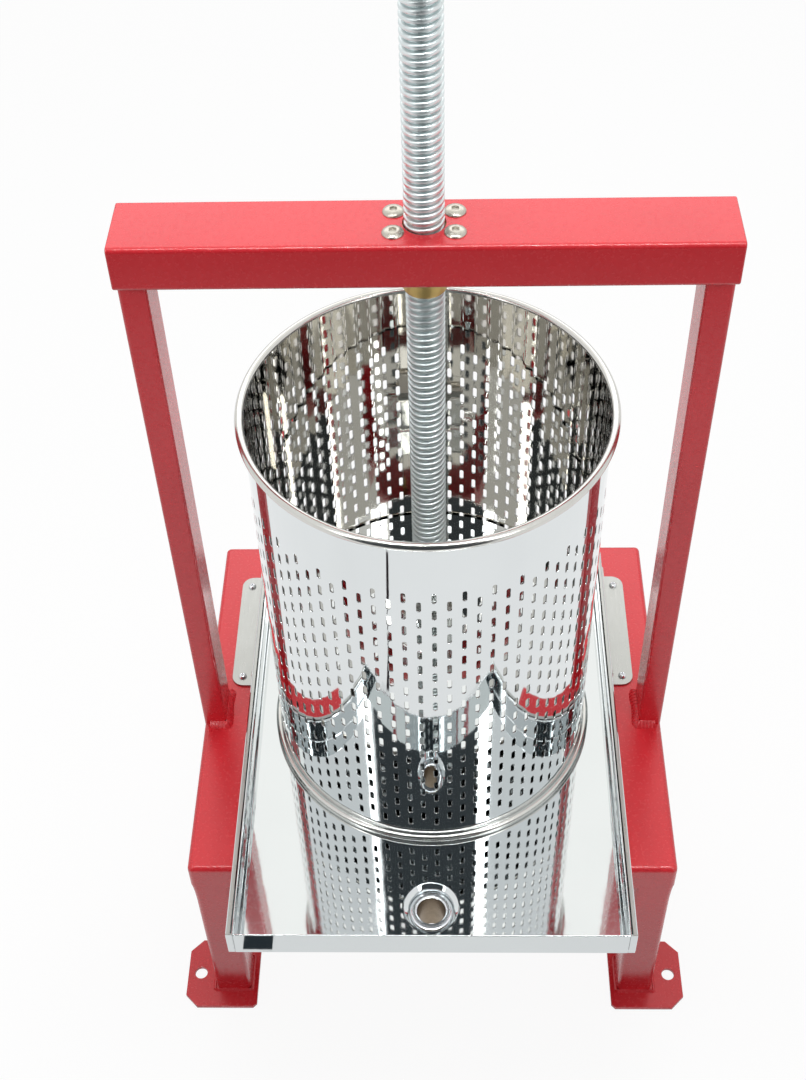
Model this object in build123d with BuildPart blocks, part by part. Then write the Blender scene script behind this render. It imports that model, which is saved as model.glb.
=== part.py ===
"""Honey press: a welded steel stand, a drip tray, a perforated basket and a screw with a press plate.

Millimetres. The origin is on the floor, midway between the four foot holes. +X is to the right of
someone who faces the drain, +Y is to the back and +Z is up.
"""

import os

from build123d import *

# Basket: a rolled, perforated sheet with a wired bead round each end
BASKET_R = 100.0
BASKET_T = 1.0
BASKET_H = 275.0
BEAD_W = 4.2
BEAD_CHAMFER = 1.2
BEAD_GAP = 0.05

# Slots, at a little over twice the real pitch and size, which keeps the real open share
SLOT_COLUMNS = 36
SLOT_ROWS = 8
SLOT_W = 5.2
SLOT_L = 16.8
PLAIN_BOTTOM = 14.0
PLAIN_TOP = 40.0

# Tray: folded sheet with a doubled fold along each side and a pressed dish round the drain
SHEET_T = 1.0
TRAY_H = 21.0
TRAY_REACH = 178.0
TRAY_LAP = 8.5
SIDE_GAP = 10.75
BACK_GAP = 16.75
FOLD_W = 5.5
FOLD_CHAMFER = 1.2
DRAIN_INSET = 29.5
DISH_R = 17.0
DISH_FLOOR_R = 13.5
DISH_DEPTH = 6.0

# Drain spout: flanged half-inch pipe, soldered into the dish
SPOUT_R = 10.45
SPOUT_BORE_R = 8.35
SPOUT_L = 28.5
NECK_R = 10.9
NECK_DROP = 0.5
NECK_CLEARANCE = 0.1
FLANGE_R = 13.2
FLANGE_T = 1.8

# Brackets that tie the tray to the rails
BRACKET_T = 1.5
BRACKET_W = 16.0
BRACKET_L = 97.0
BRACKET_H = 14.0
BRACKET_R = 8.0
BRACKET_GAP = 6.5

# Stand: one rectangular tube for the beam, the rails and the cross bars, lighter ones for the rest
TUBE_W = 40.0
TUBE_H = 25.0
TUBE_T = 2.0
TUBE_CHAMFER = 1.5
CAP_T = 2.0
POST_W = 15.0
POST_D = 25.0
POST_T = 1.5
POST_CHAMFER = 1.2
LEG_W = 25.0
LEG_T = 1.5
LEG_CHAMFER = 1.5
LEG_H = 137.0
RAIL_L = 270.0
SCREW_Y = -12.5
LOADING_GAP = 93.0
CROSS_BAR_REACH = 55.0

# Foot plates, one hole each
FOOT_W = 50.0
FOOT_T = 3.0
FOOT_LEDGE = 4.5
FOOT_CHAMFER = 8.5
FOOT_INNER_CHAMFER = 2.0
FOOT_HOLE_R = 4.25
FOOT_HOLE_INSET = 9.0

# Screw and nut, with plain cylinders where the thread runs
SCREW_R = 10.0
SCREW_L = 481.0
SCREW_CLEARANCE = 0.05
GROOVE_R = 8.0
NUT_L = 44.0
NUT_T = 12.0
NUT_SIDE_GAP = 0.6
SPIGOT_R = 12.5
SPIGOT_DROP = 13.0
BEAM_HOLE_GAP = 0.6

# Press plate with the cup that the screw turns in
PLATE_GAP = 3.0
PLATE_T = 6.0
PLATE_REST = 87.0
CUP_R = 20.0
CUP_H = 26.0
CUP_FLOOR = 6.0
KEEPER_L = 28.0
KEEPER_W = 13.5
KEEPER_T = 4.0
KEEPER_GAP = 0.3

# Handle: a cross bar through a head that is welded on the top of the screw
HEAD_R = 18.0
HEAD_H = 50.0
BAR_R = 7.0
BAR_L = 300.0
BAR_DROP = 14.0
BAR_GAP = 0.02
GRIP_R = 11.0
GRIP_L = 88.0
GRIP_END = 4.0

# Places that follow from the sizes
RAIL_TOP = FOOT_T + LEG_H + TUBE_H
TRAY_FLOOR = RAIL_TOP + SHEET_T
BEAD_OUT = BASKET_R + BEAD_GAP + BEAD_W
TRAY_HALF = BEAD_OUT + SIDE_GAP + FOLD_W
TRAY_L = TRAY_REACH + BEAD_OUT + BACK_GAP + SHEET_T
TRAY_FRONT = SCREW_Y - TRAY_REACH
RAIL_IN = TRAY_HALF - TRAY_LAP
FRAME_HALF = RAIL_IN + TUBE_W
BEAM_BOTTOM = TRAY_FLOOR + BASKET_H + LOADING_GAP
BEAM_TOP = BEAM_BOTTOM + TUBE_H
LEG_X = FRAME_HALF - LEG_W / 2
LEG_Y = RAIL_L / 2 - LEG_W / 2
DRAIN_Y = TRAY_FRONT + DRAIN_INSET
DISH_FLOOR = TRAY_FLOOR - DISH_DEPTH
NECK_HOLE_R = NECK_R + NECK_CLEARANCE
NECK_BOTTOM = DISH_FLOOR - SHEET_T - NECK_DROP
BRACKET_Y = SCREW_Y + POST_D / 2 + BRACKET_GAP + BRACKET_L / 2
PLATE_TOP = TRAY_FLOOR + PLATE_REST
PLATE_R = BASKET_R - BASKET_T - PLATE_GAP
CUP_TOP = PLATE_TOP + CUP_H
SCREW_BOTTOM = PLATE_TOP + CUP_FLOOR
SCREW_TOP = SCREW_BOTTOM + SCREW_L
BAR_Z = SCREW_TOP - BAR_DROP

SIDES = {"left": -1, "right": 1}
ENDS = {"front": -1, "back": 1}

os.makedirs("parts", exist_ok=True)


def save(piece, name):
    """Label a finished piece and write it."""
    piece.label = name
    export_step(piece, f"parts/{name}.step")


def make_tube(start, width, depth, wall, corner, length):
    """Rectangular tube with eased corners that runs from a plane along its normal."""
    with BuildPart() as tube:
        with BuildSketch(start) as section:
            Rectangle(width, depth)
            chamfer(section.vertices(), corner)
            Rectangle(width - 2 * wall, depth - 2 * wall, mode=Mode.SUBTRACT)
        extrude(amount=length)
    return tube.part


def make_tube_cap(start):
    """Plate welded over an open end of the large tube."""
    with BuildPart() as cap:
        with BuildSketch(start) as section:
            Rectangle(TUBE_W, TUBE_H)
            chamfer(section.vertices(), TUBE_CHAMFER)
        extrude(amount=CAP_T)
    return cap.part


def on_axis(height):
    """Level plane whose origin is on the screw's axis."""
    return Plane((0, SCREW_Y, height))


# Foot plates: square, with the two outer corners cut off and a hole outside the leg
for side_name, side in SIDES.items():
    for end_name, end in ENDS.items():
        foot_x = FRAME_HALF - LEG_W - FOOT_LEDGE + FOOT_W / 2
        hole_x = FOOT_W / 2 - FOOT_HOLE_INSET
        with BuildPart() as foot_plate:
            with BuildSketch(Plane((side * foot_x, end * LEG_Y, 0))) as outline:
                Rectangle(FOOT_W, FOOT_W)
                outer_first = outline.vertices().sort_by(Axis.X, reverse=side > 0)
                chamfer(outer_first[:2], FOOT_CHAMFER)
                inner_last = outline.vertices().sort_by(Axis.X, reverse=side > 0)
                chamfer(inner_last[-2:], FOOT_INNER_CHAMFER)
                with Locations((side * hole_x, 0)):
                    Circle(FOOT_HOLE_R, mode=Mode.SUBTRACT)
            extrude(amount=FOOT_T)
        save(foot_plate.part, f"foot_plate_{end_name}_{side_name}")

# Legs: square tube from each foot plate up to the end of a rail
for side_name, side in SIDES.items():
    for end_name, end in ENDS.items():
        leg_start = Plane((side * LEG_X, end * LEG_Y, FOOT_T))
        leg = make_tube(leg_start, LEG_W, LEG_W, LEG_T, LEG_CHAMFER, LEG_H)
        save(leg, f"leg_{end_name}_{side_name}")

# Rails: tube from front to back on the legs, with a plate welded over each end
for side_name, side in SIDES.items():
    rail_x = side * (RAIL_IN + TUBE_W / 2)
    rail_z = RAIL_TOP - TUBE_H / 2
    rail_half = RAIL_L / 2 - CAP_T
    rail_start = Plane((rail_x, -rail_half, rail_z), x_dir=(1, 0, 0), z_dir=(0, 1, 0))
    rail = make_tube(rail_start, TUBE_W, TUBE_H, TUBE_T, TUBE_CHAMFER, 2 * rail_half)
    save(rail, f"rail_{side_name}")
    for end_name, end in ENDS.items():
        cap_start = Plane((rail_x, end * rail_half, rail_z), x_dir=(1, 0, 0), z_dir=(0, end, 0))
        save(make_tube_cap(cap_start), f"rail_cap_{end_name}_{side_name}")

# Cross bars: tube between the rails, flush with their tops, that carries the tray under the basket
for end_name, end in ENDS.items():
    bar_start = Plane(
        (-RAIL_IN, SCREW_Y + end * CROSS_BAR_REACH, RAIL_TOP - TUBE_H / 2),
        x_dir=(0, 1, 0),
        z_dir=(1, 0, 0),
    )
    cross_bar = make_tube(bar_start, TUBE_W, TUBE_H, TUBE_T, TUBE_CHAMFER, 2 * RAIL_IN)
    save(cross_bar, f"cross_bar_{end_name}")

# Uprights: narrow tube on each rail, flush with its outer face
for side_name, side in SIDES.items():
    post_start = Plane((side * (FRAME_HALF - POST_W / 2), SCREW_Y, RAIL_TOP))
    upright = make_tube(post_start, POST_W, POST_D, POST_T, POST_CHAMFER, BEAM_BOTTOM - RAIL_TOP)
    save(upright, f"upright_{side_name}")

# Top beam: tube across the uprights, open above for the screw and below for the nut
beam_half = FRAME_HALF - CAP_T
beam_z = BEAM_BOTTOM + TUBE_H / 2
beam_start = Plane((-beam_half, SCREW_Y, beam_z), x_dir=(0, 1, 0), z_dir=(1, 0, 0))
with BuildPart() as top_beam:
    add(make_tube(beam_start, TUBE_W, TUBE_H, TUBE_T, TUBE_CHAMFER, 2 * beam_half))
    with Locations((0, SCREW_Y, BEAM_TOP)):
        Hole(SCREW_R + BEAM_HOLE_GAP, depth=TUBE_T)
    with Locations((0, SCREW_Y, BEAM_BOTTOM + TUBE_T)):
        Hole(SPIGOT_R + NUT_SIDE_GAP, depth=TUBE_T)
save(top_beam.part, "top_beam")
for side_name, side in SIDES.items():
    cap_start = Plane((side * beam_half, SCREW_Y, beam_z), x_dir=(0, 1, 0), z_dir=(side, 0, 0))
    save(make_tube_cap(cap_start), f"beam_cap_{side_name}")

# Nut: brass block inside the beam, with a round spigot that comes out below it
with BuildPart() as screw_nut:
    with BuildSketch(on_axis(BEAM_TOP - TUBE_T)):
        Rectangle(NUT_L, TUBE_W - 2 * TUBE_T - 2 * NUT_SIDE_GAP)
    extrude(amount=-NUT_T)
    with BuildSketch(on_axis(BEAM_BOTTOM - SPIGOT_DROP)):
        Circle(SPIGOT_R)
    extrude(amount=TUBE_H + SPIGOT_DROP - TUBE_T - NUT_T)
    with Locations((0, SCREW_Y, BEAM_TOP - TUBE_T)):
        Hole(SCREW_R + SCREW_CLEARANCE)
save(screw_nut.part, "screw_nut")

# Tray: floor and doubled sides from one folded section, closed by a front and a back wall
fold_x = TRAY_HALF - FOLD_W / 2
with BuildPart() as tray:
    across = Plane((0, TRAY_FRONT + TRAY_L, RAIL_TOP), x_dir=(1, 0, 0), z_dir=(0, -1, 0))
    with BuildSketch(across) as section:
        with GridLocations(2 * fold_x, 0, 2, 1):
            Rectangle(FOLD_W, TRAY_H, align=(Align.CENTER, Align.MIN))
        chamfer(section.vertices().group_by(Axis.Y)[-1], FOLD_CHAMFER)
        with GridLocations(2 * fold_x, 0, 2, 1):
            Rectangle(
                FOLD_W - 2 * SHEET_T,
                TRAY_H - SHEET_T,
                align=(Align.CENTER, Align.MIN),
                mode=Mode.SUBTRACT,
            )
        floor_w = 2 * (TRAY_HALF - FOLD_W + SHEET_T)
        Rectangle(floor_w, SHEET_T, align=(Align.CENTER, Align.MIN))
    extrude(amount=TRAY_L)
    with BuildSketch(Plane((0, TRAY_FRONT + TRAY_L / 2, RAIL_TOP))):
        with GridLocations(0, TRAY_L - SHEET_T, 1, 2):
            Rectangle(2 * TRAY_HALF, SHEET_T)
    extrude(amount=TRAY_H)
    with Locations((0, DRAIN_Y, TRAY_FLOOR)):
        Hole(DISH_R, depth=SHEET_T)
    with BuildSketch(Plane((0, DRAIN_Y, DISH_FLOOR), x_dir=(1, 0, 0), z_dir=(0, -1, 0))):
        Polygon(
            (NECK_HOLE_R, 0),
            (DISH_FLOOR_R, 0),
            (DISH_R, DISH_DEPTH),
            (DISH_R + SHEET_T, DISH_DEPTH),
            (DISH_R + SHEET_T, DISH_DEPTH - SHEET_T),
            (DISH_FLOOR_R + SHEET_T, -SHEET_T),
            (NECK_HOLE_R, -SHEET_T),
            align=None,
        )
    revolve(axis=Axis((0, DRAIN_Y, DISH_FLOOR), (0, 0, 1)))
save(tray.part, "tray")

# Tray brackets: angle welded to the outer fold, whose round-cornered foot lies on the rail
for side_name, side in SIDES.items():
    bracket_x = side * (TRAY_HALF + BRACKET_W / 2)
    with BuildPart() as tray_bracket:
        with BuildSketch(Plane((bracket_x, BRACKET_Y, RAIL_TOP))) as outline:
            Rectangle(BRACKET_W, BRACKET_L)
            outer_first = outline.vertices().sort_by(Axis.X, reverse=side > 0)
            fillet(outer_first[:2], BRACKET_R)
        extrude(amount=BRACKET_T)
        with BuildSketch(Plane((side * (TRAY_HALF + BRACKET_T / 2), BRACKET_Y, RAIL_TOP))):
            Rectangle(BRACKET_T, BRACKET_L)
        extrude(amount=BRACKET_H)
    save(tray_bracket.part, f"tray_bracket_{side_name}")

# Drain spout: a flange in the dish, a neck through it, and a pipe below for a hose or a honey gate
with BuildPart() as drain_spout:
    with BuildSketch(Plane((0, DRAIN_Y, DISH_FLOOR))):
        Circle(FLANGE_R)
    extrude(amount=FLANGE_T)
    with BuildSketch(Plane((0, DRAIN_Y, DISH_FLOOR))):
        Circle(NECK_R)
    extrude(amount=NECK_BOTTOM - DISH_FLOOR)
    with BuildSketch(Plane((0, DRAIN_Y, NECK_BOTTOM))):
        Circle(SPOUT_R)
    extrude(amount=-SPOUT_L)
    with Locations((0, DRAIN_Y, DISH_FLOOR + FLANGE_T)):
        Hole(SPOUT_BORE_R)
save(drain_spout.part, "drain_spout")

# Basket wall: one flat per column of slots, and neighbouring columns half a pitch apart
column_step = 360 / SLOT_COLUMNS
with BuildPart() as basket_wall:
    with BuildSketch(on_axis(TRAY_FLOOR)):
        RegularPolygon(BASKET_R, SLOT_COLUMNS, rotation=column_step / 2)
        RegularPolygon(
            BASKET_R - BASKET_T, SLOT_COLUMNS, rotation=column_step / 2, mode=Mode.SUBTRACT
        )
    extrude(amount=BASKET_H)
    lowest = TRAY_FLOOR + PLAIN_BOTTOM + SLOT_L / 2
    slot_pitch = (BASKET_H - PLAIN_BOTTOM - PLAIN_TOP - SLOT_L) / (SLOT_ROWS - 1)
    slot_places = []
    for column in range(SLOT_COLUMNS):
        facing = Location((0, SCREW_Y, 0), (0, 0, column * column_step))
        shift = column % 2
        for row in range(SLOT_ROWS - shift):
            height = lowest + slot_pitch * (row + shift / 2)
            slot_places.append(facing * Location((BASKET_R, 0, height)))
    with Locations(slot_places):
        Box(4 * BASKET_T, SLOT_W, SLOT_L, mode=Mode.SUBTRACT)
save(basket_wall.part, "basket_wall")

# Basket beads: wired rims outside the wall at its top and bottom edges, with eased corners
bead_bottoms = {"rim": TRAY_FLOOR + BASKET_H - BEAD_W, "foot": TRAY_FLOOR}
for bead_name, bead_bottom in bead_bottoms.items():
    with BuildPart() as basket_bead:
        with BuildSketch(on_axis(bead_bottom)):
            RegularPolygon(BEAD_OUT, SLOT_COLUMNS, rotation=column_step / 2)
            RegularPolygon(
                BASKET_R + BEAD_GAP, SLOT_COLUMNS, rotation=column_step / 2, mode=Mode.SUBTRACT
            )
        extrude(amount=BEAD_W)
        for level in basket_bead.faces().filter_by(Axis.Z):
            chamfer(level.outer_wire().edges(), BEAD_CHAMFER)
    save(basket_bead.part, f"basket_{bead_name}_bead")

# Press plate: flat disc that clears the basket all round, with a bored cup welded on for the screw
with BuildPart() as press_plate:
    with BuildSketch(on_axis(PLATE_TOP)):
        Circle(PLATE_R)
    extrude(amount=-PLATE_T)
    with BuildSketch(on_axis(PLATE_TOP)):
        Circle(CUP_R)
    extrude(amount=CUP_H)
    with Locations((0, SCREW_Y, CUP_TOP)):
        Hole(SCREW_R + SCREW_CLEARANCE, depth=CUP_H - CUP_FLOOR)
save(press_plate.part, "press_plate")

# Keepers: two notched bars on top of the cup that run in the screw's groove, so it lifts the plate
for side_name, side in SIDES.items():
    with BuildPart() as keeper:
        with BuildSketch(on_axis(CUP_TOP)):
            with Locations((side * (KEEPER_GAP + KEEPER_W / 2), 0)):
                Rectangle(KEEPER_W, KEEPER_L)
            Circle(GROOVE_R + KEEPER_GAP, mode=Mode.SUBTRACT)
        extrude(amount=KEEPER_T)
    save(keeper.part, f"keeper_{side_name}")

# Press screw: round bar with a groove for the keeper and a cross-drilled head for the bar
with BuildPart() as press_screw:
    with BuildSketch(on_axis(SCREW_BOTTOM)):
        Circle(SCREW_R)
    extrude(amount=SCREW_L)
    with BuildSketch(on_axis(SCREW_TOP)):
        Circle(HEAD_R)
    extrude(amount=-HEAD_H)
    with BuildSketch(on_axis(CUP_TOP - KEEPER_GAP)):
        Circle(SCREW_R)
        Circle(GROOVE_R, mode=Mode.SUBTRACT)
    extrude(amount=KEEPER_T + 2 * KEEPER_GAP, mode=Mode.SUBTRACT)
    with Locations(Location((0, SCREW_Y, BAR_Z), (0, 90, 0))):
        Cylinder(BAR_R + BAR_GAP, 2 * HEAD_R, mode=Mode.SUBTRACT)
save(press_screw.part, "press_screw")

# Handle bar: round bar through the head of the screw
with BuildPart() as handle_bar:
    with BuildSketch(Plane((-BAR_L / 2, SCREW_Y, BAR_Z), z_dir=(1, 0, 0))):
        Circle(BAR_R)
    extrude(amount=BAR_L)
save(handle_bar.part, "handle_bar")

# Handle grips: rubber sleeves with a closed end over each end of the bar
for side_name, side in SIDES.items():
    grip_x = side * (BAR_L / 2 + GRIP_END)
    with BuildPart() as handle_grip:
        with BuildSketch(Plane((grip_x, SCREW_Y, BAR_Z), z_dir=(-side, 0, 0))):
            Circle(GRIP_R)
        extrude(amount=GRIP_L)
        with BuildSketch(Plane((side * BAR_L / 2, SCREW_Y, BAR_Z), z_dir=(-side, 0, 0))):
            Circle(BAR_R + BAR_GAP)
        extrude(amount=GRIP_L, mode=Mode.SUBTRACT)
    save(handle_grip.part, f"handle_grip_{side_name}")
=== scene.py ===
import math

import bmesh
import bpy
from mathutils import Matrix, Vector


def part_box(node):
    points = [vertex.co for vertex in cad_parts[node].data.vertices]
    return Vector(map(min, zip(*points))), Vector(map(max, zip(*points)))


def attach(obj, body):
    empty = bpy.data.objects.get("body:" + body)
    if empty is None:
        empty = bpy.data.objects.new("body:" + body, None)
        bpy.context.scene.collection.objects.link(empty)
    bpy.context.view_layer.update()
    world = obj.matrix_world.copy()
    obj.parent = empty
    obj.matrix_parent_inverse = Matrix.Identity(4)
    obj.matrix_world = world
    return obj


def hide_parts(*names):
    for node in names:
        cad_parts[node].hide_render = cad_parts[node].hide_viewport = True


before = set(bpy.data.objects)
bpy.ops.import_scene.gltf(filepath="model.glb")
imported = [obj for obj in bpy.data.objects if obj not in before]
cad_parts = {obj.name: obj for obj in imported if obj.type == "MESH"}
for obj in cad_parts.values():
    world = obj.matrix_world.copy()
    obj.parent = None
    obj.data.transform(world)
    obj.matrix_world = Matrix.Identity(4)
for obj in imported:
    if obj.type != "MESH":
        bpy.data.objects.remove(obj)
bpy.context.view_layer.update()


# Foot plates: four pieces of 3 mm steel plate, laser cut with the outer corners taken off and one
# bolt hole each. They are welded under the legs and powder coated red together with the stand.
MM = 0.001
SIDES = {"left": -1, "right": 1}
ENDS = {"front": -1, "back": 1}
FOOT_OUTER_CUT = 8.5
FOOT_INNER_CUT = 2.6
FOOT_HOLE_R = 4.25
FOOT_HOLE_IN = 9.0
FOOT_EDGE = 0.5
HOLE_POINTS = 32
SHARP_ANGLE = math.radians(35)


def linear(code):
    """An sRGB hex colour as linear red, green, blue and alpha."""
    values = [int(code[i:i + 2], 16) / 255 for i in (1, 3, 5)]
    return [v / 12.92 if v <= 0.04045 else ((v + 0.055) / 1.055) ** 2.4 for v in values] + [1.0]


def add_node(tree, kind, inputs=None, **fields):
    """Adds one node, sets its fields, and links or sets its inputs."""
    made = tree.nodes.new(kind)
    for name, value in fields.items():
        setattr(made, name, value)
    for name, value in (inputs or {}).items():
        if isinstance(value, bpy.types.NodeSocket):
            tree.links.new(value, made.inputs[name])
        else:
            made.inputs[name].default_value = value
    return made


def make_finish(name, light, dark, patch_mm, rough, grain_mm, grain_depth_mm, stretch=(1, 1, 1),
                **sockets):
    """A surface whose colour and gloss drift in patches and whose grain stands up by a real height.

    stretch is how many times finer the grain runs along each axis. sockets are set on the shader.
    """
    material = bpy.data.materials.new(name)
    material.use_nodes = True
    tree = material.node_tree
    shader = tree.nodes["Principled BSDF"]
    place = add_node(tree, "ShaderNodeTexCoord").outputs["Object"]
    patches = add_node(tree, "ShaderNodeTexNoise",
                       {"Vector": place, "Scale": 1 / (patch_mm * MM), "Detail": 3.0})
    # A colour mix has its share in socket 0 and its two colours in 6 and 7.
    shade = add_node(tree, "ShaderNodeMix",
                     {0: patches.outputs[0], 6: linear(dark), 7: linear(light)}, data_type="RGBA")
    drawn = add_node(tree, "ShaderNodeMapping", {"Vector": place, "Scale": stretch})
    grain = add_node(tree, "ShaderNodeTexNoise",
                     {"Vector": drawn.outputs[0], "Scale": 1 / (grain_mm * MM), "Detail": 2.0})
    gloss = add_node(tree, "ShaderNodeMapRange",
                     {"Value": grain.outputs[0], "From Min": 0.3, "From Max": 0.7,
                      "To Min": rough[0], "To Max": rough[1]})
    relief = add_node(tree, "ShaderNodeBump",
                      {"Height": grain.outputs[0], "Distance": grain_depth_mm * MM})
    tree.links.new(shade.outputs[2], shader.inputs["Base Color"])
    tree.links.new(gloss.outputs[0], shader.inputs["Roughness"])
    tree.links.new(relief.outputs[0], shader.inputs["Normal"])
    for socket, value in sockets.items():
        shader.inputs[socket.replace("_", " ")].default_value = value
    return material


def around(count):
    """Evenly spaced angles of a full turn."""
    return [math.tau * i / count for i in range(count)]


def cut_plate(bm, outline, holes, low, high, edge):
    """A flat plate cut to an outline with round holes, its sharp edges broken."""
    rings = [outline]
    for x, y, radius in holes:
        rings.append([(x + radius * math.cos(t), y + radius * math.sin(t))
                      for t in around(HOLE_POINTS)])
    sides = []
    for ring in rings:
        points = [bm.verts.new((x, y, low)) for x, y in ring]
        sides += [bm.edges.new(pair) for pair in zip(points, points[1:] + points[:1])]
    flat = bmesh.ops.triangle_fill(bm, edges=sides, use_beauty=True, normal=(0, 0, -1))
    faces = [g for g in flat["geom"] if isinstance(g, bmesh.types.BMFace)]
    raised = bmesh.ops.extrude_face_region(bm, geom=faces)["geom"]
    moved = [g for g in raised if isinstance(g, bmesh.types.BMVert)]
    bmesh.ops.translate(bm, verts=moved, vec=(0, 0, high - low))
    for point in moved:
        sides += [e for e in point.link_edges
                  if e.other_vert(point) in moved and e.calc_face_angle(0) > 1]
    bmesh.ops.bevel(bm, geom=list(dict.fromkeys(sides)), offset=edge, segments=2, profile=0.5,
                    affect="EDGES")


def fit(name, bm, finish, body, slot, *nodes):
    """Makes a piece of a mesh drawn in millimetres. It rides on a body and stands for CAD nodes."""
    bmesh.ops.recalc_face_normals(bm, faces=bm.faces[:])
    bmesh.ops.scale(bm, vec=(MM, MM, MM), verts=bm.verts[:])
    for face in bm.faces:
        face.smooth = True
    mesh = bpy.data.meshes.new(name)
    bm.to_mesh(mesh)
    bm.free()
    mesh.set_sharp_from_angle(angle=SHARP_ANGLE)
    mesh.materials.append(finish)
    piece = bpy.data.objects.new(name, mesh)
    bpy.context.scene.collection.objects.link(piece)
    even = piece.modifiers.new("flat faces stay flat", "WEIGHTED_NORMAL")
    even.keep_sharp = True
    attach(piece, body)
    if nodes:
        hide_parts(*nodes)
    return piece


def mm_box(node):
    """A CAD node's lowest and highest corners in millimetres."""
    low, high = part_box(node)
    return low / MM, high / MM


def side_faces(low, high, s):
    """The outer and the inner x of a box on the left or the right of the press."""
    return (low.x, high.x) if s < 0 else (high.x, low.x)


# Gloss polyester powder coat, baked on: it flows out to a fine orange peel, so highlights break up
# at the rounded edges, and the flat faces pick up a pale veil of the floor.
red_powder_coat = make_finish("gloss red polyester powder coat", "#E42B36", "#D82630", 38,
                              (0.2, 0.3), 2.2, 0.02, IOR=1.6)

for end in ENDS:
    for side, s in SIDES.items():
        low, high = mm_box(f"foot_plate_{end}_{side}")
        outer, inner = side_faces(low, high, s)
        cut, ease = FOOT_OUTER_CUT, FOOT_INNER_CUT
        outline = [(outer - s * cut, low.y), (outer, low.y + cut), (outer, high.y - cut),
                   (outer - s * cut, high.y), (inner + s * ease, high.y), (inner, high.y - ease),
                   (inner, low.y + ease), (inner + s * ease, low.y)]
        hole = (outer - s * FOOT_HOLE_IN, (low.y + high.y) / 2, FOOT_HOLE_R)
        bm = bmesh.new()
        cut_plate(bm, outline, [hole], low.z, high.z, FOOT_EDGE)
        fit(f"stand_foot_{end}_{side}", bm, red_powder_coat, "frame", "red_paint",
            f"foot_plate_{end}_{side}")


# Legs: four lengths of 25 mm square tube, welded between foot plates and rails. Their outer faces
# stand a little inside the rail's, and the weld between them is ground to a smooth hollow.
LEG_CORNER = 3.5
LEG_LAP = 3.65
LEG_INSET = 1.4
LEG_TOP_INSET = 0.35
LEG_FLARE = 22.0
LEG_FLARE_CUTS = 8
CORNER_STEPS = 4
QUADRANTS = ((1, 1), (-1, 1), (-1, -1), (1, -1))


def skin(bm, rings):
    """A wall that joins a row of closed rings."""
    for first, second in zip(rings, rings[1:]):
        for i, point in enumerate(first):
            bm.faces.new((first[i - 1], point, second[i], second[i - 1]))


def rounded_bar(bm, low, high, along, corner, end=0.0):
    """A tube from outside: long edges rounded by corner, and its closed ends rounded by end."""
    wide, tall = [i for i in range(3) if i != along]
    middle, half = (low + high) / 2, (high - low) / 2
    quarter = [math.pi / 2 * i / CORNER_STEPS for i in range(CORNER_STEPS + 1)]
    ease = [(0, 0)]
    if end:
        ease = [(end * (1 - math.sin(t)), end * (1 - math.cos(t))) for t in quarter]
    stations = [(low[along] + step, inset) for step, inset in reversed(ease)]
    stations += [(high[along] - step, inset) for step, inset in ease]
    rings = []
    for reach, inset in stations:
        ring = []
        radius = corner - inset
        for k, (a, b) in enumerate(QUADRANTS):
            for t in quarter:
                turn = t + k * math.pi / 2
                point = [0, 0, 0]
                point[along] = reach
                point[wide] = middle[wide] + a * (half[wide] - corner) + radius * math.cos(turn)
                point[tall] = middle[tall] + b * (half[tall] - corner) + radius * math.sin(turn)
                ring.append(bm.verts.new(point))
        rings.append(ring)
    skin(bm, rings)
    bm.faces.new(rings[0])
    bm.faces.new(rings[-1])


def draw_in(low, high, s, inset):
    """Moves the outer face of a box on the left or the right of the press in."""
    if s < 0:
        low.x += inset
    else:
        high.x -= inset


for end in ENDS:
    for side, s in SIDES.items():
        low, high = mm_box(f"leg_{end}_{side}")
        high.z += LEG_LAP
        draw_in(low, high, s, LEG_INSET)
        bm = bmesh.new()
        rounded_bar(bm, low, high, 2, LEG_CORNER)
        for i in range(LEG_FLARE_CUTS):
            level = high.z - LEG_FLARE * (i + 1) / LEG_FLARE_CUTS
            bmesh.ops.bisect_plane(bm, geom=bm.verts[:] + bm.edges[:] + bm.faces[:],
                                   plane_no=(0, 0, 1), plane_co=(0, 0, level))
        for point in bm.verts:
            rise = max(0, 1 - (high.z - point.co.z) / LEG_FLARE)
            if s * (point.co.x - (low.x + high.x) / 2) > 0:
                point.co.x += s * (LEG_INSET - LEG_TOP_INSET) * rise ** 2
        fit(f"stand_leg_{end}_{side}", bm, red_powder_coat, "frame", "red_paint",
            f"leg_{end}_{side}")


# Rails: two lengths of 40 x 25 mm tube from front to back, which carry the tray. Their ends are
# closed with welded plates that are ground round, so tube and plate look like one bar.
RAIL_CORNER = 3.7
RAIL_END_ROUND = 3.6
for side in SIDES:
    low, high = mm_box(f"rail_{side}")
    low.y = mm_box(f"rail_cap_front_{side}")[0].y
    high.y = mm_box(f"rail_cap_back_{side}")[1].y
    bm = bmesh.new()
    rounded_bar(bm, low, high, 1, RAIL_CORNER, RAIL_END_ROUND)
    caps = [f"rail_cap_{end}_{side}" for end in ENDS]
    fit(f"stand_rail_{side}", bm, red_powder_coat, "frame", "red_paint", f"rail_{side}", *caps)


# Cross bars: two lengths of tube between the rails under the tray, welded at both ends. They carry
# the load of the press and are coated with the stand.
TUBE_CORNER = 2.2
for end in ENDS:
    bm = bmesh.new()
    rounded_bar(bm, *mm_box(f"cross_bar_{end}"), 0, TUBE_CORNER)
    fit(f"stand_cross_bar_{end}", bm, red_powder_coat, "frame", "red_paint", f"cross_bar_{end}")


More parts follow.
